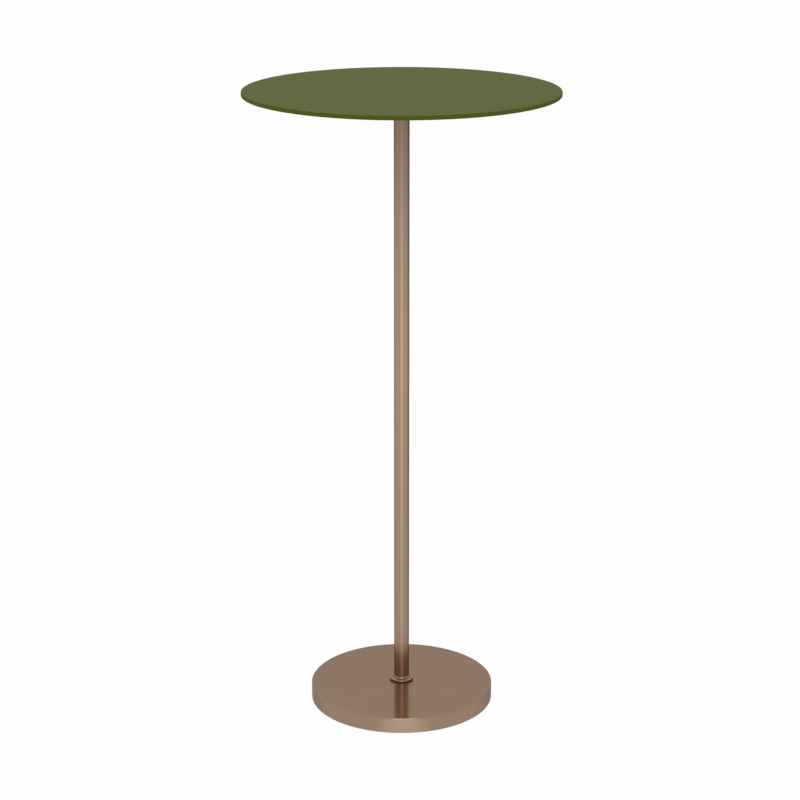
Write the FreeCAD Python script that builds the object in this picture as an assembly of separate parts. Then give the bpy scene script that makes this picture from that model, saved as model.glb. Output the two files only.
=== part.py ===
import FreeCAD, Part
import math
import os

# Round pedestal table. The floor is Z = 0 and the pole's axis is Z. Sizes are in millimetres.

# Top plate
table_height = 616.0
top_diameter = 300.0
top_thickness = 4.0
top_edge_chamfer = 0.5

# Pole
pole_diameter = 15.0
pole_wall = 1.5
plug_length = 25.0

# Base: a turned cover, crowned towards its centre, over a cast weight on a ring of felt
base_diameter = 182.0
base_height = 16.0
cover_wall = 1.2
cover_crown = 1.6
cover_edge_chamfer = 0.6
cover_floor_gap = 0.5
cover_to_weight = 0.3
weight_web = 3.0
bolt_pocket_margin = 1.0
felt_thickness = 2.0
felt_inset = 0.5
felt_hole_margin = 5.0

# Gasket and collar that stand at the foot of the pole, on a flat seat in the middle of the cover
seat_overhang = 0.4
gasket_thickness = 0.8
gasket_inset = 0.5
collar_flange_height = 1.6
collar_shoulder_height = 0.7
collar_neck_height = 1.7
collar_ledge = 1.5
collar_flange_overhang = 4.3
collar_shoulder_overhang = 2.1
collar_neck_overhang = 1.1
collar_neck_chamfer = 0.6

# Flange under the top
flange_diameter = 90.0
flange_thickness = 4.0
hub_wall = 4.5
hub_height = 12.0
hub_root_fillet = 1.5
hub_socket_depth = 8.0

# Centre screws: the set screw at the top of the pole and the hexagon bolt at its foot
centre_thread = 8.0
set_screw_length = 22.0
set_screw_drop = 0.5
bolt_length = 30.0
bolt_head_flats = 13.0
bolt_head_height = 5.3
spring_washer_diameter = 14.8
spring_washer_thickness = 2.0
spring_washer_split = 1.6
flat_washer_diameter = 24.0
flat_washer_thickness = 1.6

# Weld studs that hold the top, with their nuts and washers
stud_count = 3
stud_thread = 5.0
stud_edge_distance = 12.0
stud_beyond_nut = 1.3
nut_flats = 8.0
nut_height = 4.7
washer_diameter = 10.0
washer_thickness = 1.0

# Fits
thread_clearance = 0.05
slip_clearance = 0.05
hole_clearance = 0.25

# Heights of the mating faces
top_underside = table_height - top_thickness
flange_underside = top_underside - flange_thickness
hub_end = flange_underside - hub_height
pole_top = hub_end + hub_socket_depth
weight_top = base_height - cover_wall
pocket_ceiling = weight_top - weight_web
flat_washer_bottom = pocket_ceiling - flat_washer_thickness
spring_washer_bottom = flat_washer_bottom - spring_washer_thickness
seat_top = base_height + cover_crown
collar_bottom = seat_top + gasket_thickness
pole_bottom = collar_bottom + collar_ledge
washer_bottom = flange_underside - washer_thickness
nut_bottom = washer_bottom - nut_height
stud_tip = nut_bottom - stud_beyond_nut

# Radii shared by mating pieces
pole_radius = pole_diameter / 2.0
pole_bore = pole_radius - pole_wall
socket_radius = pole_radius + slip_clearance
centre_radius = centre_thread / 2.0
centre_tapped = centre_radius + thread_clearance
centre_hole = centre_radius + hole_clearance
cover_inside = base_diameter / 2.0 - cover_wall
collar_flange = pole_radius + collar_flange_overhang
seat_radius = collar_flange + seat_overhang
pocket_radius = flat_washer_diameter / 2.0 + bolt_pocket_margin
stud_radius = stud_thread / 2.0
stud_circle = flange_diameter / 2.0 - stud_edge_distance
nut_tapped = stud_radius + thread_clearance
stud_hole = stud_radius + hole_clearance


def chamfered(before, here, after, setback):
    """The two ends of the flat that breaks one corner, held inside the corner's own sides."""
    ends = []
    for side in (before - here, after - here):
        reach = min(setback, side.Length / 2.0)
        ends.append(here + side.normalize() * reach)
    return ends


def turned(outline):
    """Solid turned about Z from a closed outline of (radius, height) or (radius, height, chamfer)."""
    corners = [FreeCAD.Vector(place[0], 0.0, place[1]) for place in outline]
    points = []
    for index, place in enumerate(outline):
        if len(place) > 2:
            after = corners[(index + 1) % len(corners)]
            points += chamfered(corners[index - 1], corners[index], after, place[2])
        else:
            points.append(corners[index])
    face = Part.Face(Part.makePolygon(points + points[:1]))
    return face.revolve(FreeCAD.Vector(0, 0, 0), FreeCAD.Vector(0, 0, 1), 360)


def ring(inner, outer, bottom, top):
    """Plain turned ring, or a disc where the inner radius is zero."""
    return turned([(inner, bottom), (outer, bottom), (outer, top), (inner, top)])


def hexagon(flats, bottom, top):
    """Six-sided bar with its flats facing X."""
    corner = flats / math.sqrt(3.0)
    angles = [math.radians(30.0 + 60.0 * side) for side in range(7)]
    points = [FreeCAD.Vector(corner * math.cos(a), corner * math.sin(a), bottom) for a in angles]
    return Part.Face(Part.makePolygon(points)).extrude(FreeCAD.Vector(0, 0, top - bottom))


def repeated(piece):
    """Copies of one fastener on the stud circle, as separate solids."""
    axis = FreeCAD.Vector(0, 0, 1)
    copies = []
    for index in range(stud_count):
        copy = piece.copy()
        copy.translate(FreeCAD.Vector(stud_circle, 0, 0))
        copy.rotate(FreeCAD.Vector(0, 0, 0), axis, 360.0 * (index + 0.5) / stud_count)
        copies.append(copy)
    return Part.makeCompound(copies)


def top_disc():
    radius = top_diameter / 2.0
    return turned([
        (0.0, top_underside),
        (radius, top_underside),
        (radius, table_height, top_edge_chamfer),
        (0.0, table_height),
    ])


def top_flange():
    rim = flange_diameter / 2.0
    hub = pole_radius + hub_wall
    blank = turned([
        (centre_tapped, pole_top),
        (socket_radius, pole_top),
        (socket_radius, hub_end),
        (hub, hub_end),
        (hub, flange_underside, hub_root_fillet),
        (rim, flange_underside),
        (rim, top_underside),
        (centre_tapped, top_underside),
    ])
    return blank.cut(repeated(ring(0.0, stud_hole, flange_underside, top_underside)))


def top_studs():
    return repeated(ring(0.0, stud_radius, stud_tip, top_underside))


def stud_washers():
    return repeated(ring(stud_radius + hole_clearance, washer_diameter / 2.0, washer_bottom, flange_underside))


def stud_nuts():
    blank = hexagon(nut_flats, nut_bottom, washer_bottom)
    return repeated(blank.cut(ring(0.0, nut_tapped, nut_bottom, washer_bottom)))


def hub_stud():
    head = top_underside - set_screw_drop
    return ring(0.0, centre_radius, head - set_screw_length, head)


def plug(bottom, top):
    """Tapped plug pressed into one end of the pole."""
    return ring(centre_tapped, pole_bore - slip_clearance, bottom, top)


def pole_tube():
    return ring(pole_bore, pole_radius, pole_bottom, pole_top)


def pole_collar():
    flange_top = collar_bottom + collar_flange_height
    shoulder_top = flange_top + collar_shoulder_height
    collar_top = shoulder_top + collar_neck_height
    shoulder = pole_radius + collar_shoulder_overhang
    neck = pole_radius + collar_neck_overhang
    return turned([
        (centre_hole, collar_bottom),
        (collar_flange, collar_bottom),
        (collar_flange, flange_top),
        (shoulder, shoulder_top),
        (neck, shoulder_top),
        (neck, collar_top, collar_neck_chamfer),
        (socket_radius, collar_top),
        (socket_radius, pole_bottom),
        (centre_hole, pole_bottom),
    ])


def collar_gasket():
    return ring(centre_hole, collar_flange - gasket_inset, seat_top, collar_bottom)


def base_cover():
    outside = base_diameter / 2.0
    return turned([
        (centre_hole, weight_top),
        (cover_inside, weight_top),
        (cover_inside, cover_floor_gap),
        (outside, cover_floor_gap),
        (outside, base_height, cover_edge_chamfer),
        (seat_radius, seat_top),
        (centre_hole, seat_top),
    ])


def base_weight():
    outside = cover_inside - cover_to_weight
    return turned([
        (centre_hole, pocket_ceiling),
        (pocket_radius, pocket_ceiling),
        (pocket_radius, felt_thickness),
        (outside, felt_thickness),
        (outside, weight_top),
        (centre_hole, weight_top),
    ])


def base_bolt():
    head = hexagon(bolt_head_flats, spring_washer_bottom - bolt_head_height, spring_washer_bottom)
    return head.fuse(ring(0.0, centre_radius, spring_washer_bottom, spring_washer_bottom + bolt_length))


def spring_washer():
    outside = spring_washer_diameter / 2.0
    coil = ring(centre_hole, outside, spring_washer_bottom, flat_washer_bottom)
    corner = FreeCAD.Vector(0.0, -spring_washer_split / 2.0, spring_washer_bottom)
    split = Part.makeBox(outside, spring_washer_split, spring_washer_thickness, corner)
    return coil.cut(split)


def flat_washer():
    return ring(centre_hole, flat_washer_diameter / 2.0, flat_washer_bottom, pocket_ceiling)


def base_felt():
    hole = pocket_radius + felt_hole_margin
    return ring(hole, cover_inside - felt_inset, 0.0, felt_thickness)


pieces = {
    "top_disc": top_disc(),
    "top_flange": top_flange(),
    "top_studs": top_studs(),
    "stud_washers": stud_washers(),
    "stud_nuts": stud_nuts(),
    "hub_stud": hub_stud(),
    "upper_plug": plug(pole_top - plug_length, pole_top),
    "pole_tube": pole_tube(),
    "lower_plug": plug(pole_bottom, pole_bottom + plug_length),
    "pole_collar": pole_collar(),
    "collar_gasket": collar_gasket(),
    "base_cover": base_cover(),
    "base_weight": base_weight(),
    "base_bolt": base_bolt(),
    "spring_washer": spring_washer(),
    "flat_washer": flat_washer(),
    "base_felt": base_felt(),
}

os.makedirs("parts", exist_ok=True)
for node, shape in pieces.items():
    shape.exportStep("parts/" + node + ".step")
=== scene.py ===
import math

import bmesh
import bpy
from bpy.props import FloatProperty, FloatVectorProperty, IntProperty, PointerProperty
from mathutils import Matrix, Vector


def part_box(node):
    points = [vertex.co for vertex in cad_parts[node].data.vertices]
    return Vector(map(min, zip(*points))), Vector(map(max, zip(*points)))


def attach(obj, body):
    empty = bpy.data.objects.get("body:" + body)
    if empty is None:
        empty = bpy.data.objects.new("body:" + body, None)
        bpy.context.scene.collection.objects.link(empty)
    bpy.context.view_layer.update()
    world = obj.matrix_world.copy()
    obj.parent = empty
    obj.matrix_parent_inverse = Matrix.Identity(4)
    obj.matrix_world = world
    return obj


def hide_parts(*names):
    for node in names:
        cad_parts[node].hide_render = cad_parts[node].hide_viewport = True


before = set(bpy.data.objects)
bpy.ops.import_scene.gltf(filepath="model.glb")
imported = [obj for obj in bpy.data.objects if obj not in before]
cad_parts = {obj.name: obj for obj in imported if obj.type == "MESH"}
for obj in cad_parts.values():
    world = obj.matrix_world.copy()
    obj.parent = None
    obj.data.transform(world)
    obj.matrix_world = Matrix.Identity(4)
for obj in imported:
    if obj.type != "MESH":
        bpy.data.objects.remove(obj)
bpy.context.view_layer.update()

bl_info = {
    "name": "Wine table",
    "version": (1, 0, 0),
    "blender": (4, 5, 0),
    "location": "View3D > Sidebar > Wine table",
    "description": "Dresses the packed wine table with its lacquered top, bronze pole and weighted base",
    "category": "Object",
}

BODY = "root"
AXIS = Vector((0.0, 0.0, 1.0))
ON_AXIS = (0.0, 0.0, 0.0)
FULL_TURN = 2.0 * math.pi
THIRTY_DEGREES = math.pi / 6.0


def reach(node):
    """Radius that fits a node's box about the table's axis, and the node's lowest and highest height."""
    low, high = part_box(node)
    return min(-low[0], -low[1], high[0], high[1]), low[2], high[2]


TOP_RADIUS, TOP_UNDERSIDE, TOP_FACE = reach("top_disc")
FLANGE_RADIUS, HUB_END, FLANGE_FACE = reach("top_flange")
POLE_RADIUS, POLE_BOTTOM, POLE_TOP = reach("pole_tube")
COLLAR_RADIUS, COLLAR_BOTTOM, COLLAR_TOP = reach("pole_collar")
GASKET_RADIUS, GASKET_BOTTOM, GASKET_TOP = reach("collar_gasket")
COVER_RADIUS, COVER_RIM, SEAT_FACE = reach("base_cover")
WEIGHT_RADIUS, WEIGHT_BOTTOM, WEIGHT_TOP = reach("base_weight")
WASHER_RADIUS, WASHER_BOTTOM, WASHER_TOP = reach("flat_washer")
FELT_RADIUS, FELT_BOTTOM, FELT_TOP = reach("base_felt")
BOLT_BOTTOM, BOLT_TOP = reach("base_bolt")[1:]
SCREW_BOTTOM, SCREW_TOP = reach("hub_stud")[1:]
SPRING_WASHER_BOTTOM = reach("spring_washer")[1]
STUD_BOTTOM, STUD_TOP = reach("top_studs")[1:]
NUT_BOTTOM, NUT_TOP = reach("stud_nuts")[1:]
STUD_WASHER_BOTTOM, STUD_WASHER_TOP = reach("stud_washers")[1:]

# Flats round a full turn, from the widest pieces to the fasteners
WIDE_STEPS = 256
BROAD_STEPS = 192
SLIM_STEPS = 128
WASHER_STEPS = 96
FASTENER_STEPS = 48
HOLE_STEPS = 32
THREAD_STEPS = 28

# Meshes: points closer than SAME are one point, a flat side starts SUPPORT radii from a rounded corner
SAME = 1e-7
SUPPORT = 1.6
ROUNDING_STEPS = 5
SMOOTH_ANGLE = math.radians(38.0)

# Fasteners: a turned-off hexagon's end as a share of its flats, and a thread's form and seams in pitches
END_SHARE = 0.97
THREAD_DEPTH = 0.55
THREAD_LEAD = 1.5
CREST_START, CREST_END = 0.42, 0.58
SEAM = 0.01
SLIVER = 0.001

# Highlights on the bronze stretch a quarter turn from the way round the axis
ACROSS = 0.25

# Levels of the painted light and shade in the floor's reflected glow change over these distances from the
# pole and these cosines of direction
NEAR_TO_MIDDLE = (0.2, 1.6)
FAR_AWAY = (2.3, 3.6)
STRIP_SIDES = (0.94, 0.988)
STRIP_END = (2.5, 3.2)
STRIP_TURN = 0.026
STRIP_NEAR, STRIP_RISE, STRIP_FULL = 0.53, 0.37, 2.0
BEHIND = (-0.1, 0.8)
CORNER_RIGHT, CORNER_BACK = 0.643, 0.766
CORNER_SIDES = (0.4, 0.9)
CORNER_NEAR, CORNER_RISE = 0.6, 0.2
LEAST_DISTANCE = 0.001

# Levels of the light from all round change over these parts of its direction
LOW_FRONT = (-0.4, 0.2)
FRONT_HEIGHT = (0.02, 0.22)
LOW_BACK = (0.5, 0.95)
BACK_HEIGHT = (0.15, 0.4)

# Each lamp's place, width, height and power
FRONT_LAMP = ((0.12, -2.4, 1.62), 1.2, 1.1, 12.5)
OVERHEAD_LAMP = ((0.0, -0.5, 2.3), 1.4, 1.4, 4.5)

# The floor lies just below the felt, and the camera's sensor is given in millimetres
FLOOR_DROP = 0.0002
FLOOR_SQUARES = 8
SENSOR_WIDTH = 36.0
VIEW_DISTANCE = 100.0


def length(name, description, default):
    return FloatProperty(name=name, description=description, default=default, min=0.0, precision=5,
                         unit="LENGTH")


def share(name, description, default):
    return FloatProperty(name=name, description=description, default=default, min=0.0, max=1.0,
                         subtype="FACTOR")


def colour(name, description, default):
    return FloatVectorProperty(name=name, description=description, default=default, min=0.0, max=1.0,
                               size=3, subtype="COLOR")


class TopSettings(bpy.types.PropertyGroup):
    edge: length("Edge rounding", "Radius of the top's upper and lower edge", 0.0007)
    lacquer: colour("Lacquer", "Colour of the matt lacquer", (0.086, 0.1035, 0.0125))
    lacquer_roughness: share("Lacquer roughness", "Mean roughness of the lacquer", 0.5)
    lacquer_sheen: share("Lacquer sheen", "Strength of the lacquer's mirror reflection", 0.017)
    hub: length("Hub radius", "Outer radius of the hub under the top", 0.012)
    flange_thickness: length("Flange thickness", "Thickness of the plate under the top", 0.004)
    flange_edge: length("Flange edge", "Rounding of the flange's and the hub's edges", 0.0008)
    flange_root: length("Flange root", "Fillet between the hub and the flange", 0.0018)
    tapped: length("Tapped hole", "Radius of the tapped hole above the hub's socket", 0.00405)
    stud: length("Stud radius", "Outer radius of the thread of a weld stud", 0.0025)
    stud_play: length("Stud play", "Room between a stud and its hole", 0.00025)
    stud_circle: length("Stud circle", "Radius of the circle on which the studs stand", 0.033)
    stud_pitch: length("Stud pitch", "Pitch of the studs' thread", 0.0008)
    stud_count: IntProperty(name="Studs", description="Number of studs", default=3, min=1)
    nut_flats: length("Nut flats", "Width of a nut across its flats", 0.008)
    nut_countersink: length("Nut countersink", "Depth of the countersinks of a nut", 0.0004)
    washer: length("Washer radius", "Outer radius of a stud's washer", 0.005)
    washer_edge: length("Washer edge", "Rounding of a stud's washer", 0.0002)


class PoleSettings(bpy.types.PropertyGroup):
    wall: length("Wall", "Wall of the pole's tube", 0.0015)
    tube_edge: length("Tube edge", "Rounding of the ends of the pole's tube", 0.0002)
    bronze: colour("Bronze", "Colour of the brushed bronze finish", (0.35, 0.239, 0.166))
    bronze_edge: colour("Bronze at a glance", "Tint of the bronze seen at a low angle", (0.54, 0.52, 0.55))
    satin_roughness: share("Satin roughness", "Roughness of the pole's satin polish", 0.215)
    satin: share("Satin polish", "How far the pole's polish stretches a highlight", 0.5)
    wall_roughness: share("Turned wall roughness", "Roughness of the turned bronze on upright walls", 0.26)
    face_roughness: share("Turned face roughness", "Roughness of the turned bronze on level faces", 0.23)
    turning: share("Turning lines", "How far the turning lines stretch a highlight", 1.0)
    collar_flange_height: length("Collar flange", "Height of the collar's flange", 0.0016)
    collar_shoulder_height: length("Collar shoulder", "Rise of the slope on the collar's flange", 0.0007)
    collar_shoulder: length("Collar slope", "How far the slope's upper end is from the pole", 0.0021)
    collar_neck: length("Collar neck reach", "How far the collar's neck stands out from the pole", 0.0011)
    collar_edge: length("Collar edge", "Rounding of the collar's flange", 0.0005)
    shoulder_edge: length("Shoulder edge", "Rounding of the slope's upper end", 0.0003)
    neck_root: length("Neck root", "Fillet at the foot of the collar's neck", 0.0002)
    neck_edge: length("Neck edge", "Rounding of the top of the collar's neck", 0.0009)
    gasket_edge: length("Gasket edge", "Rounding of the gasket", 0.0002)
    gasket: colour("Gasket", "Colour of the rubber gasket", (0.008, 0.007, 0.006))


class BaseSettings(bpy.types.PropertyGroup):
    cover_wall: length("Cover wall", "Thickness of the base cover's sheet", 0.0012)
    cover_edge: length("Cover edge", "Rounding of the cover's upper edge", 0.0008)
    cover_foot: length("Cover foot", "Rounding of the cover's lower edge outside", 0.0004)
    cover_lip: length("Cover lip", "Rounding of the cover's lower edge inside", 0.0002)
    seat: length("Seat", "Radius of the flat seat in the middle of the crowned cover", 0.0122)
    bolt_hole: length("Bolt hole", "Radius of the hole for the centre bolt", 0.00425)
    pocket: length("Pocket", "Radius of the pocket for the bolt's head", 0.013)
    pocket_ceiling: length("Pocket ceiling", "Height of the pocket's ceiling above the floor", 0.0118)
    pocket_corner: length("Pocket corner", "Fillet round the pocket's ceiling", 0.001)
    pocket_edge: length("Pocket edge", "Rounding of the pocket's mouth", 0.0006)
    weight_foot: length("Weight foot", "Rounding of the weight's lower edge", 0.001)
    weight_edge: length("Weight edge", "Rounding of the weight's upper edge", 0.0015)
    washer_edge: length("Washer edge", "Rounding of the bolt's flat washer", 0.0003)
    head_flats: length("Head flats", "Width of the bolt's head across its flats", 0.013)
    thread: length("Centre thread", "Outer radius of the thread of the bolt and the set screw", 0.004)
    thread_pitch: length("Centre pitch", "Pitch of the thread of the bolt and the set screw", 0.00125)
    felt_hole: length("Felt hole", "Radius of the hole in the felt", 0.018)
    felt_edge: length("Felt edge", "Rounding of the felt ring", 0.0005)
    iron: colour("Cast iron", "Colour of the cast weight", (0.055, 0.053, 0.052))
    zinc: colour("Zinc", "Colour of the plated fasteners", (0.56, 0.57, 0.58))
    felt: colour("Felt", "Colour of the felt ring", (0.035, 0.034, 0.034))


class StageSettings(bpy.types.PropertyGroup):
    floor: colour("Floor", "Colour of the floor", (0.97, 0.97, 0.97))
    floor_size: length("Floor size", "Half the width of the floor", 12.0)
    floor_glow: share("Floor glow", "Share of plain white in the floor that is seen", 0.95)
    # Painted light and shade in the floor's glow seen in reflections: a painted bright strip in front,
    # painted shade behind, in a corner on the right, near the base and far away, and painted extra light
    # some way off
    front_strip: share("Front strip", "How much brighter the mirrored floor is straight in front", 0.6)
    far_floor: share("Far floor", "How much darker the mirrored floor is far away", 0.7)
    near_floor: share("Near floor", "Level of the mirrored floor close to the base", 0.95)
    mid_floor: share("Middle floor", "How much brighter the mirrored floor is some way off", 0.21)
    dim_corner: share("Dim corner", "How much darker the mirrored floor is behind on the right", 0.38)
    dim_back: share("Dim back", "How much darker the mirrored floor is behind", 0.25)
    dim_front: share("Dim front", "How much darker the light from all round is low in front", 0.7)
    bright_back: share("Bright back", "How much brighter the light from all round is low behind", 0.3)
    surround: share("Surround", "Strength of the light from all round", 0.88)
    bright_side: share("Bright side", "How much brighter the light from all round is on the left", 0.05)
    lens: FloatProperty(name="Lens", description="Focal length of the camera in millimetres",
                        default=95.64, unit="CAMERA")
    camera_distance: length("Camera distance", "How far in front of the pole the camera stands", 1.9819)
    camera_height: length("Camera height", "Height of the camera above the floor", 0.9186)
    camera_aside: FloatProperty(name="Camera aside", default=-0.0016, unit="LENGTH", precision=5,
                                description="How far right of the pole the camera stands")
    camera_tilt: FloatProperty(name="Camera tilt", description="How far the camera looks down",
                               default=math.radians(16.989), subtype="ANGLE")


class TableSettings(bpy.types.PropertyGroup):
    top: PointerProperty(type=TopSettings)
    pole: PointerProperty(type=PoleSettings)
    base: PointerProperty(type=BaseSettings)
    stage: PointerProperty(type=StageSettings)


class Value:
    """A shader socket that takes part in Python sums, each of which adds a Math node."""

    def __init__(self, nodes, socket):
        self.nodes = nodes
        self.socket = socket

    def __add__(self, other):
        return self.nodes.maths("ADD", self, other)

    def __radd__(self, other):
        return self.nodes.maths("ADD", other, self)

    def __sub__(self, other):
        return self.nodes.maths("SUBTRACT", self, other)

    def __rsub__(self, other):
        return self.nodes.maths("SUBTRACT", other, self)

    def __mul__(self, other):
        return self.nodes.maths("MULTIPLY", self, other)

    def __rmul__(self, other):
        return self.nodes.maths("MULTIPLY", other, self)

    def __truediv__(self, other):
        return self.nodes.maths("DIVIDE", self, other)

    def __pow__(self, other):
        return self.nodes.maths("POWER", self, other)


class Nodes:
    """Adds nodes to one shader tree."""

    def __init__(self, tree):
        self.tree = tree

    def feed(self, socket, value):
        if isinstance(value, Value):
            self.tree.links.new(value.socket, socket)
        else:
            socket.default_value = value

    def add(self, kind, choices, sockets, output=0):
        """A node of one kind: its choices are set first, then its sockets get their values or links."""
        node = self.tree.nodes.new("ShaderNode" + kind)
        for name, choice in choices.items():
            setattr(node, name, choice)
        for name, value in sockets.items():
            self.feed(node.inputs[name], value)
        return Value(self, node.outputs[output])

    def maths(self, operation, *values):
        return self.add("Math", {"operation": operation}, dict(enumerate(values)))

    def place(self):
        return self.add("TexCoord", {}, {}, "Object")

    def split(self, vector):
        """The three parts of a vector."""
        part = self.add("SeparateXYZ", {}, {0: vector})
        return [Value(self, output) for output in part.socket.node.outputs]

    def noise(self, place, scale, detail=2.0, roughness=0.5):
        """Noise with about as many grains to a metre as its scale."""
        return self.add("TexNoise", {}, {"Vector": place, "Scale": scale, "Detail": detail,
                                         "Roughness": roughness})

    def tinted(self, amount, tint, low, high):
        """A colour that goes from a low to a high level of one tint."""
        ends = {6: shade(tint, low), 7: shade(tint, high)}
        return self.add("Mix", {"data_type": "RGBA"}, {0: amount, **ends}, 2)

    def scaled(self, vector, amount):
        """A vector or a colour times a number."""
        return self.add("VectorMath", {"operation": "SCALE"}, {0: vector, "Scale": amount})

    def ramp(self, value, start, end):
        """Zero up to the start, one from the end, and smooth between."""
        return self.add("MapRange", {"interpolation_type": "SMOOTHSTEP"},
                        {"Value": value, "From Min": start, "From Max": end})

    def bump(self, height, depth):
        return self.add("Bump", {}, {"Height": height, "Distance": depth}, "Normal")


class Finish(Nodes):
    """A material with one Principled shader."""

    def __init__(self, name):
        self.material = bpy.data.materials.new(name)
        self.material.use_nodes = True
        super().__init__(self.material.node_tree)
        self.shader = self.tree.nodes["Principled BSDF"]

    def dress(self, **sockets):
        for name, value in sockets.items():
            self.feed(self.shader.inputs[name.replace("_", " ")], value)
        return self.material


def across(x, y):
    """How far a place is from the table's axis."""
    return (x * x + y * y) ** 0.5


def shade(tint, level):
    """A colour with its alpha, made lighter or darker."""
    return (tint[0] * level, tint[1] * level, tint[2] * level, 1.0)


def settings():
    return bpy.context.scene.wine_table


def once(make):
    """Makes a finish the first time that it is asked for."""
    def finish():
        name = make.__name__
        return bpy.data.materials.get(name) or make(name)
    return finish


@once
def olive_lacquer(name):
    """Matt lacquer: faint clouding, a fine grain and a shallow orange peel."""
    top = settings().top
    finish = Finish(name)
    place = finish.place()
    cloud = finish.noise(place, 22.0)
    grain = finish.noise(place, 2600.0, 1.0)
    peel = finish.noise(place, 620.0)
    tone = cloud * 0.5 + grain * 0.5
    return finish.dress(
        Base_Color=finish.tinted(tone, top.lacquer, 0.93, 1.07),
        Roughness=top.lacquer_roughness - 0.06 + cloud * 0.06 + grain * 0.06,
        Specular_IOR_Level=top.lacquer_sheen,
        Normal=finish.bump(peel * 0.7 + grain * 0.3, 0.00003),
    )


def bronze(finish, round_scale, long_scale):
    """Puts the bronze's colour and fine lines on a finish, and gives the lines and the clouding."""
    pole = settings().pole
    place = finish.place()
    x, y, z = finish.split(place)
    radius = across(x, y)
    stroke = finish.add("CombineXYZ", {}, {"X": x / radius * round_scale, "Y": y / radius * round_scale,
                                           "Z": (radius + z) * long_scale})
    lines = finish.noise(stroke, 1.0, 3.0, 0.6)
    bands = finish.noise(finish.scaled(stroke, 0.11), 1.0)
    cloud = finish.noise(place, 30.0)
    tone = lines * 0.45 + bands * 0.3 + cloud * 0.25
    finish.dress(
        Base_Color=finish.tinted(tone, pole.bronze, 0.86, 1.14),
        Metallic=1.0,
        Specular_Tint=shade(pole.bronze_edge, 1.0),
        Normal=finish.bump(lines * 0.7 + bands * 0.3, 0.000006),
    )
    return lines, cloud


@once
def satin_bronze(name):
    """Bronze of the pole, with a satin polish along its length."""
    pole = settings().pole
    finish = Finish(name)
    lines, cloud = bronze(finish, 160.0, 30.0)
    return finish.dress(
        Roughness=pole.satin_roughness - 0.04 + lines * 0.05 + cloud * 0.03,
        Anisotropic=pole.satin,
        Anisotropic_Rotation=ACROSS,
    )


@once
def turned_bronze(name):
    """Bronze with fine turning lines round the table's axis, smoother on level faces than on walls."""
    pole = settings().pole
    finish = Finish(name)
    lines, cloud = bronze(finish, 3.0, 2400.0)
    level = finish.maths("ABSOLUTE", finish.split(finish.add("NewGeometry", {}, {}, "Normal"))[2])
    roughness = pole.wall_roughness + level * (pole.face_roughness - pole.wall_roughness)
    return finish.dress(
        Roughness=roughness - 0.05 + lines * 0.06 + cloud * 0.04,
        Anisotropic=pole.turning,
        Anisotropic_Rotation=ACROSS,
    )


@once
def zinc_plate(name):
    """Zinc plating: pale grey with a faint mottle."""
    base = settings().base
    finish = Finish(name)
    place = finish.place()
    mottle = finish.noise(place, 420.0, 3.0)
    grain = finish.noise(place, 3000.0, 1.0)
    return finish.dress(
        Base_Color=finish.tinted(mottle, base.zinc, 0.82, 1.1),
        Metallic=1.0,
        Roughness=0.26 + mottle * 0.16,
        Normal=finish.bump(grain, 0.000008),
    )


@once
def cast_iron(name):
    """Sand-cast iron: dark, grainy and dull."""
    base = settings().base
    finish = Finish(name)
    place = finish.place()
    sand = finish.noise(place, 900.0, 4.0, 0.65)
    scale = finish.noise(place, 90.0)
    return finish.dress(
        Base_Color=finish.tinted(sand * 0.6 + scale * 0.4, base.iron, 0.6, 1.4),
        Metallic=0.4,
        Roughness=0.62 + sand * 0.2,
        Normal=finish.bump(sand, 0.00018),
    )


@once
def gasket_rubber(name):
    """Black rubber with a dusty bloom."""
    pole = settings().pole
    finish = Finish(name)
    place = finish.place()
    bloom = finish.noise(place, 260.0, 3.0)
    grain = finish.noise(place, 2200.0, 1.0)
    return finish.dress(
        Base_Color=finish.tinted(bloom, pole.gasket, 0.7, 1.5),
        Roughness=0.62 + bloom * 0.16,
        Normal=finish.bump(grain, 0.00002),
    )


@once
def wool_felt(name):
    """Pressed felt: matted fibres of uneven grey."""
    base = settings().base
    finish = Finish(name)
    place = finish.place()
    swirl = finish.noise(place, 140.0, 3.0, 0.6)
    fibres = finish.add("TexVoronoi", {"feature": "DISTANCE_TO_EDGE"}, {"Vector": place, "Scale": 900.0})
    fuzz = finish.noise(place, 2400.0, 3.0, 0.7)
    tone = swirl * 0.4 + fuzz * 0.6
    return finish.dress(
        Base_Color=finish.tinted(tone, base.felt, 0.5, 1.9),
        Roughness=0.9 + fuzz * 0.1,
        Specular_IOR_Level=0.1,
        Sheen_Weight=0.35,
        Normal=finish.bump(fuzz * 0.7 + fibres * 0.8, 0.00035),
    )


def turned(outline, steps):
    """A closed (radius, height, rounding) outline, its corners rounded, spun about the table's axis."""
    shape = bmesh.new()
    loop = []
    rounded = []
    for (radius, height, rounding), following in zip(outline, outline[1:] + outline[:1]):
        here = Vector((radius, 0.0, height))
        side = Vector((following[0], 0.0, following[1])) - here
        loop.append(shape.verts.new(here))
        if rounding > 0.0:
            rounded.append((loop[-1], rounding))
        for place in supports(side.length, rounding, following[2]):
            loop.append(shape.verts.new(here + side * place))
    for first, second in zip(loop, loop[1:] + loop[:1]):
        if first.co.x > 0.0 or second.co.x > 0.0:
            shape.edges.new((first, second))
    for corner, rounding in rounded:
        bmesh.ops.bevel(shape, geom=[corner], offset=rounding, segments=ROUNDING_STEPS, profile=0.5,
                        affect="VERTICES", material=-1)
    bmesh.ops.spin(shape, geom=shape.verts[:] + shape.edges[:], cent=ON_AXIS, axis=AXIS, angle=FULL_TURN,
                   steps=steps, use_merge=True)
    bmesh.ops.remove_doubles(shape, verts=shape.verts, dist=SAME)
    bmesh.ops.recalc_face_normals(shape, faces=shape.faces)
    return shape


def supports(span, rounding, next_rounding):
    """Places along a side, just past its rounded ends, between which the turned face stays flat."""
    places = []
    if 0.0 < rounding < span / 4.0:
        places.append(SUPPORT * rounding / span)
    if 0.0 < next_rounding < span / 4.0:
        places.append(1.0 - SUPPORT * next_rounding / span)
    return places


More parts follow.
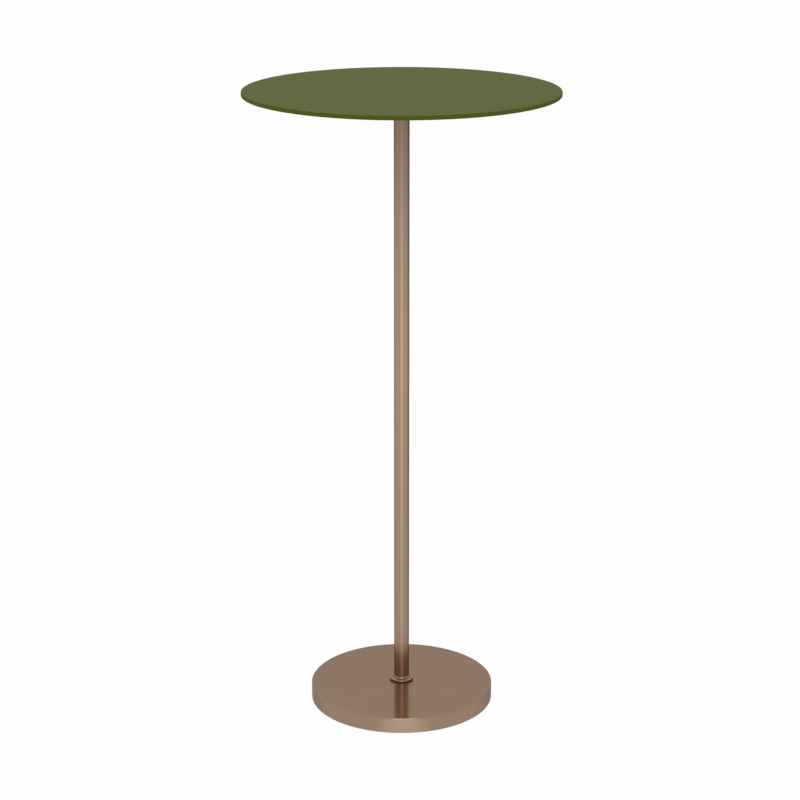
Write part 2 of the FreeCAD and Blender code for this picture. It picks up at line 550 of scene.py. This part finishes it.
def ring(inner, outer, bottom, top, rounding, steps):
    """A turned ring with all its edges rounded alike."""
    corners = ((inner, bottom), (outer, bottom), (outer, top), (inner, top))
    return turned([(*corner, rounding) for corner in corners], steps)


def hexagon(flats, bottom, top, bore=0.0, countersink=0.0):
    """A hexagon bar with its corners turned off at thirty degrees, solid or with a countersunk bore."""
    land = flats / 2.0
    end = land * END_SHARE
    outline = [(end, bottom, 0.0), (land, bottom, 0.0), (land, top, 0.0), (end, top, 0.0)]
    if bore > 0.0:
        outline += [(bore + countersink, top, 0.0), (bore, top - countersink, 0.0)]
        outline += [(bore, bottom + countersink, 0.0), (bore + countersink, bottom, 0.0)]
    else:
        outline += [(0.0, top, 0.0), (0.0, bottom, 0.0)]
    shape = turned(outline, FASTENER_STEPS)
    for vert in shape.verts:
        if vert.co.xy.length > (land + end) / 2.0:
            angle = math.atan2(vert.co.y, vert.co.x)
            turn = (angle + THIRTY_DEGREES) % (2.0 * THIRTY_DEGREES) - THIRTY_DEGREES
            drop = land * (1.0 / math.cos(turn) - 1.0) * math.tan(THIRTY_DEGREES)
            vert.co.xy /= math.cos(turn)
            vert.co.z += drop if vert.co.z < (bottom + top) / 2.0 else -drop
    return shape


def threaded_rod(radius, pitch, bottom, top):
    """A rod with a turned thread, flat at both ends."""
    shape = bmesh.new()
    root = radius - THREAD_DEPTH * pitch
    turns = math.ceil((top - bottom) / pitch) + 2
    start = bottom - THREAD_LEAD * pitch
    ridge = [(root, 0.0), (radius, CREST_START), (radius, CREST_END), (root, 1.0)]
    verts = [shape.verts.new((distance, 0.0, start + part * pitch)) for distance, part in ridge]
    edges = [shape.edges.new(pair) for pair in zip(verts, verts[1:])]
    bmesh.ops.spin(shape, geom=verts + edges, cent=ON_AXIS, axis=AXIS, dvec=AXIS * pitch / THREAD_STEPS,
                   angle=FULL_TURN * turns, steps=THREAD_STEPS * turns)
    bmesh.ops.remove_doubles(shape, verts=shape.verts, dist=pitch * SEAM)
    for height, outward in ((bottom, -AXIS), (top, AXIS)):
        bmesh.ops.bisect_plane(shape, geom=shape.verts[:] + shape.edges[:] + shape.faces[:],
                               plane_co=(0.0, 0.0, height), plane_no=outward, clear_outer=True)
    bmesh.ops.dissolve_degenerate(shape, edges=shape.edges, dist=pitch * SLIVER)
    bmesh.ops.holes_fill(shape, edges=[edge for edge in shape.edges if edge.is_boundary])
    bmesh.ops.recalc_face_normals(shape, faces=shape.faces)
    return shape


def drill(shape, bottom, top, radius, circle, count):
    """Drills holes on a circle through a turned plate, from one level face to the other."""
    rims = []
    for height in (bottom, top):
        level = {face for face in shape.faces if covers(face, height, circle)}
        edges = [edge for face in level for edge in face.edges if not level.issuperset(edge.link_faces)]
        bmesh.ops.delete(shape, geom=list(level), context="FACES")
        holes = []
        for index in range(count):
            place = stud_place(circle, index, count, height)
            rim = bmesh.ops.create_circle(shape, segments=HOLE_STEPS, radius=radius, matrix=place)
            holes.append(list({edge for vert in rim["verts"] for edge in vert.link_edges}))
        bmesh.ops.triangle_fill(shape, use_beauty=True, edges=edges + sum(holes, []), normal=AXIS)
        rims.append(holes)
    for lower, upper in zip(*rims):
        bmesh.ops.bridge_loops(shape, edges=lower + upper)
    bmesh.ops.recalc_face_normals(shape, faces=shape.faces)


def covers(face, height, circle):
    """Whether a face lies level at a height and reaches across a circle about the axis."""
    radii = [vert.co.xy.length for vert in face.verts]
    level = all(abs(vert.co.z - height) < SAME for vert in face.verts)
    return level and min(radii) < circle < max(radii)


def joined(shape, other):
    """Adds a second shape to the first."""
    extra = bpy.data.meshes.new("extra")
    other.to_mesh(extra)
    other.free()
    shape.from_mesh(extra)
    bpy.data.meshes.remove(extra)
    return shape


def stud_place(circle, index, count, height=0.0):
    """Where one of the studs stands, as a matrix that moves a shape there from the table's axis."""
    turn = Matrix.Rotation(FULL_TURN * (index + 0.5) / count, 4, "Z")
    return turn @ Matrix.Translation((circle, 0.0, height))


def repeated(shape, circle, count):
    """Copies one fastener to its places on the stud circle."""
    first = shape.verts[:]
    whole = first + shape.edges[:] + shape.faces[:]
    for index in range(1, count):
        copy = bmesh.ops.duplicate(shape, geom=whole)["geom"]
        verts = [item for item in copy if isinstance(item, bmesh.types.BMVert)]
        bmesh.ops.transform(shape, matrix=stud_place(circle, index, count), verts=verts)
    bmesh.ops.transform(shape, matrix=stud_place(circle, 0, count), verts=first)
    return shape


def show(shape, name, material, node):
    """Turns a bmesh into the piece that stands for one CAD node."""
    mesh = bpy.data.meshes.new(name)
    shape.to_mesh(mesh)
    shape.free()
    mesh.materials.append(material)
    mesh.shade_smooth()
    mesh.set_sharp_from_angle(angle=SMOOTH_ANGLE)
    piece = bpy.data.objects.new(name, mesh)
    bpy.context.scene.collection.objects.link(piece)
    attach(piece, BODY)
    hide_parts(node)


def paint(node, material):
    """Gives a CAD node that stays in view its material."""
    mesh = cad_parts[node].data
    mesh.materials.clear()
    mesh.materials.append(material)


class TABLE_OT_top(bpy.types.Operator):
    """Makes the round lacquered top"""

    bl_idname = "wine_table.top"
    bl_label = "Top"

    def execute(self, context):
        edge = settings().top.edge
        outline = [
            (0.0, TOP_UNDERSIDE, 0.0),
            (TOP_RADIUS, TOP_UNDERSIDE, edge),
            (TOP_RADIUS, TOP_FACE, edge),
            (0.0, TOP_FACE, 0.0),
        ]
        show(turned(outline, WIDE_STEPS), "lacquered_top", olive_lacquer(), "top_disc")
        return {"FINISHED"}


class TABLE_OT_flange(bpy.types.Operator):
    """Makes the flange and hub that carry the top"""

    bl_idname = "wine_table.flange"
    bl_label = "Flange"

    def execute(self, context):
        top = settings().top
        plate = FLANGE_FACE - top.flange_thickness
        outline = [
            (top.tapped, POLE_TOP, 0.0),
            (POLE_RADIUS, POLE_TOP, 0.0),
            (POLE_RADIUS, HUB_END, 0.0),
            (top.hub, HUB_END, top.flange_edge),
            (top.hub, plate, top.flange_root),
            (FLANGE_RADIUS, plate, top.flange_edge),
            (FLANGE_RADIUS, FLANGE_FACE, 0.0),
            (top.tapped, FLANGE_FACE, 0.0),
        ]
        flange = turned(outline, SLIM_STEPS)
        drill(flange, plate, FLANGE_FACE, top.stud + top.stud_play, top.stud_circle, top.stud_count)
        show(flange, "flange_and_hub", turned_bronze(), "top_flange")
        return {"FINISHED"}


class TABLE_OT_top_fasteners(bpy.types.Operator):
    """Makes the weld studs under the top with their washers and nuts, and the set screw in the hub"""

    bl_idname = "wine_table.top_fasteners"
    bl_label = "Top fasteners"

    def execute(self, context):
        top = settings().top
        base = settings().base
        circle = (top.stud_circle, top.stud_count)
        rod = threaded_rod(top.stud, top.stud_pitch, STUD_BOTTOM, STUD_TOP)
        show(repeated(rod, *circle), "threaded_studs", zinc_plate(), "top_studs")
        hole = top.stud + top.stud_play
        washer = ring(hole, top.washer, STUD_WASHER_BOTTOM, STUD_WASHER_TOP, top.washer_edge,
                      FASTENER_STEPS)
        show(repeated(washer, *circle), "stud_washer_rings", zinc_plate(), "stud_washers")
        nut = hexagon(top.nut_flats, NUT_BOTTOM, NUT_TOP, top.stud, top.nut_countersink)
        show(repeated(nut, *circle), "hexagon_nuts", zinc_plate(), "stud_nuts")
        screw = threaded_rod(base.thread, base.thread_pitch, SCREW_BOTTOM, SCREW_TOP)
        show(screw, "set_screw", zinc_plate(), "hub_stud")
        return {"FINISHED"}


class TABLE_OT_pole(bpy.types.Operator):
    """Makes the pole"""

    bl_idname = "wine_table.pole"
    bl_label = "Pole"

    def execute(self, context):
        pole = settings().pole
        bore = POLE_RADIUS - pole.wall
        tube = ring(bore, POLE_RADIUS, POLE_BOTTOM, POLE_TOP, pole.tube_edge, SLIM_STEPS)
        show(tube, "bronze_pole", satin_bronze(), "pole_tube")
        return {"FINISHED"}


class TABLE_OT_collar(bpy.types.Operator):
    """Makes the collar at the foot of the pole and its gasket"""

    bl_idname = "wine_table.collar"
    bl_label = "Collar and gasket"

    def execute(self, context):
        pole = settings().pole
        hole = settings().base.bolt_hole
        neck = POLE_RADIUS + pole.collar_neck
        flange_top = COLLAR_BOTTOM + pole.collar_flange_height
        shoulder = flange_top + pole.collar_shoulder_height
        outline = [
            (hole, COLLAR_BOTTOM, 0.0),
            (COLLAR_RADIUS, COLLAR_BOTTOM, pole.collar_edge),
            (COLLAR_RADIUS, flange_top, pole.collar_edge),
            (POLE_RADIUS + pole.collar_shoulder, shoulder, pole.shoulder_edge),
            (neck, shoulder, pole.neck_root),
            (neck, COLLAR_TOP, pole.neck_edge),
            (POLE_RADIUS, COLLAR_TOP, 0.0),
            (POLE_RADIUS, POLE_BOTTOM, 0.0),
            (hole, POLE_BOTTOM, 0.0),
        ]
        show(turned(outline, SLIM_STEPS), "turned_collar", turned_bronze(), "pole_collar")
        gasket = ring(hole, GASKET_RADIUS, GASKET_BOTTOM, GASKET_TOP, pole.gasket_edge, SLIM_STEPS)
        show(gasket, "rubber_gasket", gasket_rubber(), "collar_gasket")
        return {"FINISHED"}


class TABLE_OT_base(bpy.types.Operator):
    """Makes the crowned base cover and the weight inside it"""

    bl_idname = "wine_table.base"
    bl_label = "Base"

    def execute(self, context):
        base = settings().base
        inside = COVER_RADIUS - base.cover_wall
        face = WEIGHT_TOP + base.cover_wall
        cover = [
            (base.bolt_hole, WEIGHT_TOP, 0.0),
            (inside, WEIGHT_TOP, 0.0),
            (inside, COVER_RIM, base.cover_lip),
            (COVER_RADIUS, COVER_RIM, base.cover_foot),
            (COVER_RADIUS, face, base.cover_edge),
            (base.seat, SEAT_FACE, 0.0),
            (base.bolt_hole, SEAT_FACE, 0.0),
        ]
        show(turned(cover, WIDE_STEPS), "bronze_base_cover", turned_bronze(), "base_cover")
        weight = [
            (base.bolt_hole, base.pocket_ceiling, 0.0),
            (base.pocket, base.pocket_ceiling, base.pocket_corner),
            (base.pocket, WEIGHT_BOTTOM, base.pocket_edge),
            (WEIGHT_RADIUS, WEIGHT_BOTTOM, base.weight_foot),
            (WEIGHT_RADIUS, WEIGHT_TOP, base.weight_edge),
            (base.bolt_hole, WEIGHT_TOP, 0.0),
        ]
        show(turned(weight, BROAD_STEPS), "cast_weight", cast_iron(), "base_weight")
        return {"FINISHED"}


class TABLE_OT_base_fasteners(bpy.types.Operator):
    """Makes the centre bolt and its flat washer, and finishes the spring washer and the pole's plugs"""

    bl_idname = "wine_table.base_fasteners"
    bl_label = "Base fasteners"

    def execute(self, context):
        base = settings().base
        head = hexagon(base.head_flats, BOLT_BOTTOM, SPRING_WASHER_BOTTOM)
        shank = threaded_rod(base.thread, base.thread_pitch, SPRING_WASHER_BOTTOM, BOLT_TOP)
        show(joined(head, shank), "hexagon_bolt", zinc_plate(), "base_bolt")
        washer = ring(base.bolt_hole, WASHER_RADIUS, WASHER_BOTTOM, WASHER_TOP, base.washer_edge,
                      WASHER_STEPS)
        show(washer, "flat_washer_ring", zinc_plate(), "flat_washer")
        for node in ("spring_washer", "upper_plug", "lower_plug"):
            paint(node, zinc_plate())
        return {"FINISHED"}


class TABLE_OT_felt(bpy.types.Operator):
    """Makes the felt ring that the table stands on"""

    bl_idname = "wine_table.felt"
    bl_label = "Felt"

    def execute(self, context):
        base = settings().base
        felt = ring(base.felt_hole, FELT_RADIUS, FELT_BOTTOM, FELT_TOP, base.felt_edge, BROAD_STEPS)
        show(felt, "felt_ring", wool_felt(), "base_felt")
        return {"FINISHED"}


def softbox(name, target, place, width, height, power):
    """A rectangular lamp that faces a point and isn't seen itself."""
    lamp = bpy.data.lights.new(name, "AREA")
    lamp.shape = "RECTANGLE"
    lamp.size = width
    lamp.size_y = height
    lamp.energy = power
    box = bpy.data.objects.new(name, lamp)
    bpy.context.scene.collection.objects.link(box)
    box.location = place
    box.rotation_euler = (Vector(target) - Vector(place)).to_track_quat("-Z", "Y").to_euler()
    box.visible_camera = False
    return box


def seen_and_mirrored(nodes):
    """Whether a thing is seen by the camera or through a surface, and whether in a reflection."""
    path = nodes.add("LightPath", {}, {}).socket.node
    camera, through, mirrored = [Value(nodes, path.outputs[name]) for name in
                                 ("Is Camera Ray", "Is Transmission Ray", "Is Glossy Ray")]
    return camera + through, mirrored


def mirrored_floor(nodes, stage):
    """Level of the floor's glow in reflections, with painted light and shade: a painted bright strip in
    front, painted shade behind, in a corner and far away, a lower level near the base.
    """
    x, y = nodes.split(nodes.place())[:2]
    distance = nodes.maths("MAXIMUM", across(x, y), LEAST_DISTANCE)
    straight = nodes.ramp((x * STRIP_TURN - y) / distance, *STRIP_SIDES)
    painted_strip = straight * (STRIP_NEAR + nodes.maths("MINIMUM", distance, STRIP_FULL) * STRIP_RISE)
    back = nodes.ramp(y / distance, *BEHIND)
    corner = nodes.ramp((x * CORNER_RIGHT + y * CORNER_BACK) / distance, *CORNER_SIDES)
    corner = corner * nodes.maths("MINIMUM", distance * CORNER_RISE + CORNER_NEAR, 1.0)
    # Painted light and shade: a painted bright strip straight in front, painted shade in the corner behind
    # on the right and behind
    level = 1.0 + painted_strip * stage.front_strip - corner * stage.dim_corner - back * stage.dim_back
    # Painted shade where the strip ends far in front
    level = level * (1.0 - straight * nodes.ramp(distance, *STRIP_END))
    # Painted shade close to the base and painted extra light some way off
    level = level * (stage.near_floor + nodes.ramp(distance, *NEAR_TO_MIDDLE) * stage.mid_floor)
    # Painted shade far away
    return level * (1.0 - nodes.ramp(distance, *FAR_AWAY) * stage.far_floor)


class TABLE_OT_stage(bpy.types.Operator):
    """Makes the pale floor, the studio light and the camera"""

    bl_idname = "wine_table.stage"
    bl_label = "Stage"

    def execute(self, context):
        stage = settings().stage
        self.make_floor(stage)
        self.make_surround(stage)
        middle = (0.0, 0.0, TOP_FACE / 2.0)
        softbox("front_reflector", middle, *FRONT_LAMP).visible_diffuse = False
        softbox("overhead_softbox", middle, *OVERHEAD_LAMP)
        self.make_camera(stage)
        context.scene.view_settings.view_transform = "Standard"
        return {"FINISHED"}

    def make_floor(self, stage):
        finish = Finish("pale_floor")
        speck = finish.noise(finish.place(), 3.0)
        pale = finish.tinted(speck, stage.floor, 0.99, 1.01)
        seen, mirrored = seen_and_mirrored(finish)
        glowing = finish.maths("MINIMUM", seen + mirrored, 1.0)
        # Seen by the camera the floor glows plain white; in reflections its glow carries painted light and
        # shade
        level = seen + mirrored * mirrored_floor(finish, stage)
        finish.dress(
            Base_Color=finish.scaled(pale, 1.0 - glowing * stage.floor_glow),
            Roughness=0.9,
            Specular_IOR_Level=0.0,
            Emission_Color=finish.scaled((1.0, 1.0, 1.0), level * stage.floor_glow),
            Emission_Strength=1.0,
        )
        finish.material.cycles.emission_sampling = "NONE"
        shape = bmesh.new()
        bmesh.ops.create_grid(shape, x_segments=FLOOR_SQUARES, y_segments=FLOOR_SQUARES,
                              size=stage.floor_size)
        bmesh.ops.translate(shape, verts=shape.verts, vec=AXIS * -FLOOR_DROP)
        mesh = bpy.data.meshes.new("floor")
        shape.to_mesh(mesh)
        shape.free()
        mesh.materials.append(finish.material)
        floor = bpy.data.objects.new("floor", mesh)
        bpy.context.scene.collection.objects.link(floor)

    def make_surround(self, stage):
        world = bpy.data.worlds.new("studio")
        world.use_nodes = True
        bpy.context.scene.world = world
        nodes = Nodes(world.node_tree)
        background = world.node_tree.nodes["Background"]
        nodes.feed(background.inputs["Color"], (1.0, 1.0, 1.0, 1.0))
        seen = seen_and_mirrored(nodes)[0]
        right, back, up = nodes.split(nodes.add("TexCoord", {}, {}, "Generated"))
        front = (1.0 - nodes.ramp(back, *LOW_FRONT)) * (1.0 - nodes.ramp(up, *FRONT_HEIGHT))
        behind = nodes.ramp(back, *LOW_BACK) * (1.0 - nodes.ramp(up, *BACK_HEIGHT))
        level = 1.0 - front * stage.dim_front + behind * stage.bright_back
        light = (stage.surround - right * stage.bright_side) * level
        nodes.feed(background.inputs["Strength"], light + seen * (1.0 - light))

    def make_camera(self, stage):
        lens = bpy.data.cameras.new("camera")
        lens.lens = stage.lens
        lens.sensor_width = SENSOR_WIDTH
        lens.clip_end = VIEW_DISTANCE
        camera = bpy.data.objects.new("camera", lens)
        bpy.context.scene.collection.objects.link(camera)
        camera.location = (stage.camera_aside, -stage.camera_distance, stage.camera_height)
        camera.rotation_euler = (math.pi / 2.0 - stage.camera_tilt, 0.0, 0.0)
        bpy.context.scene.camera = camera


STEPS = (
    TABLE_OT_top,
    TABLE_OT_flange,
    TABLE_OT_top_fasteners,
    TABLE_OT_pole,
    TABLE_OT_collar,
    TABLE_OT_base,
    TABLE_OT_base_fasteners,
    TABLE_OT_felt,
    TABLE_OT_stage,
)


class TABLE_PT_panel(bpy.types.Panel):
    """Lists the steps that make the table"""

    bl_idname = "TABLE_PT_panel"
    bl_label = "Wine table"
    bl_space_type = "VIEW_3D"
    bl_region_type = "UI"
    bl_category = "Wine table"

    def draw(self, context):
        for step in STEPS:
            self.layout.operator(step.bl_idname)
        for group in (settings().top, settings().pole, settings().base, settings().stage):
            column = self.layout.column()
            for name in group.bl_rna.properties.keys():
                if name not in ("rna_type", "name"):
                    column.prop(group, name)


CLASSES = (TopSettings, PoleSettings, BaseSettings, StageSettings, TableSettings, *STEPS, TABLE_PT_panel)


def register():
    for item in CLASSES:
        bpy.utils.register_class(item)
    bpy.types.Scene.wine_table = PointerProperty(type=TableSettings)


def unregister():
    del bpy.types.Scene.wine_table
    for item in reversed(CLASSES):
        bpy.utils.unregister_class(item)


def main():
    register()
    bpy.ops.wine_table.top()
    bpy.ops.wine_table.flange()
    bpy.ops.wine_table.top_fasteners()
    bpy.ops.wine_table.pole()
    bpy.ops.wine_table.collar()
    bpy.ops.wine_table.base()
    bpy.ops.wine_table.base_fasteners()
    bpy.ops.wine_table.felt()
    bpy.ops.wine_table.stage()


if __name__ == "__main__":
    main()
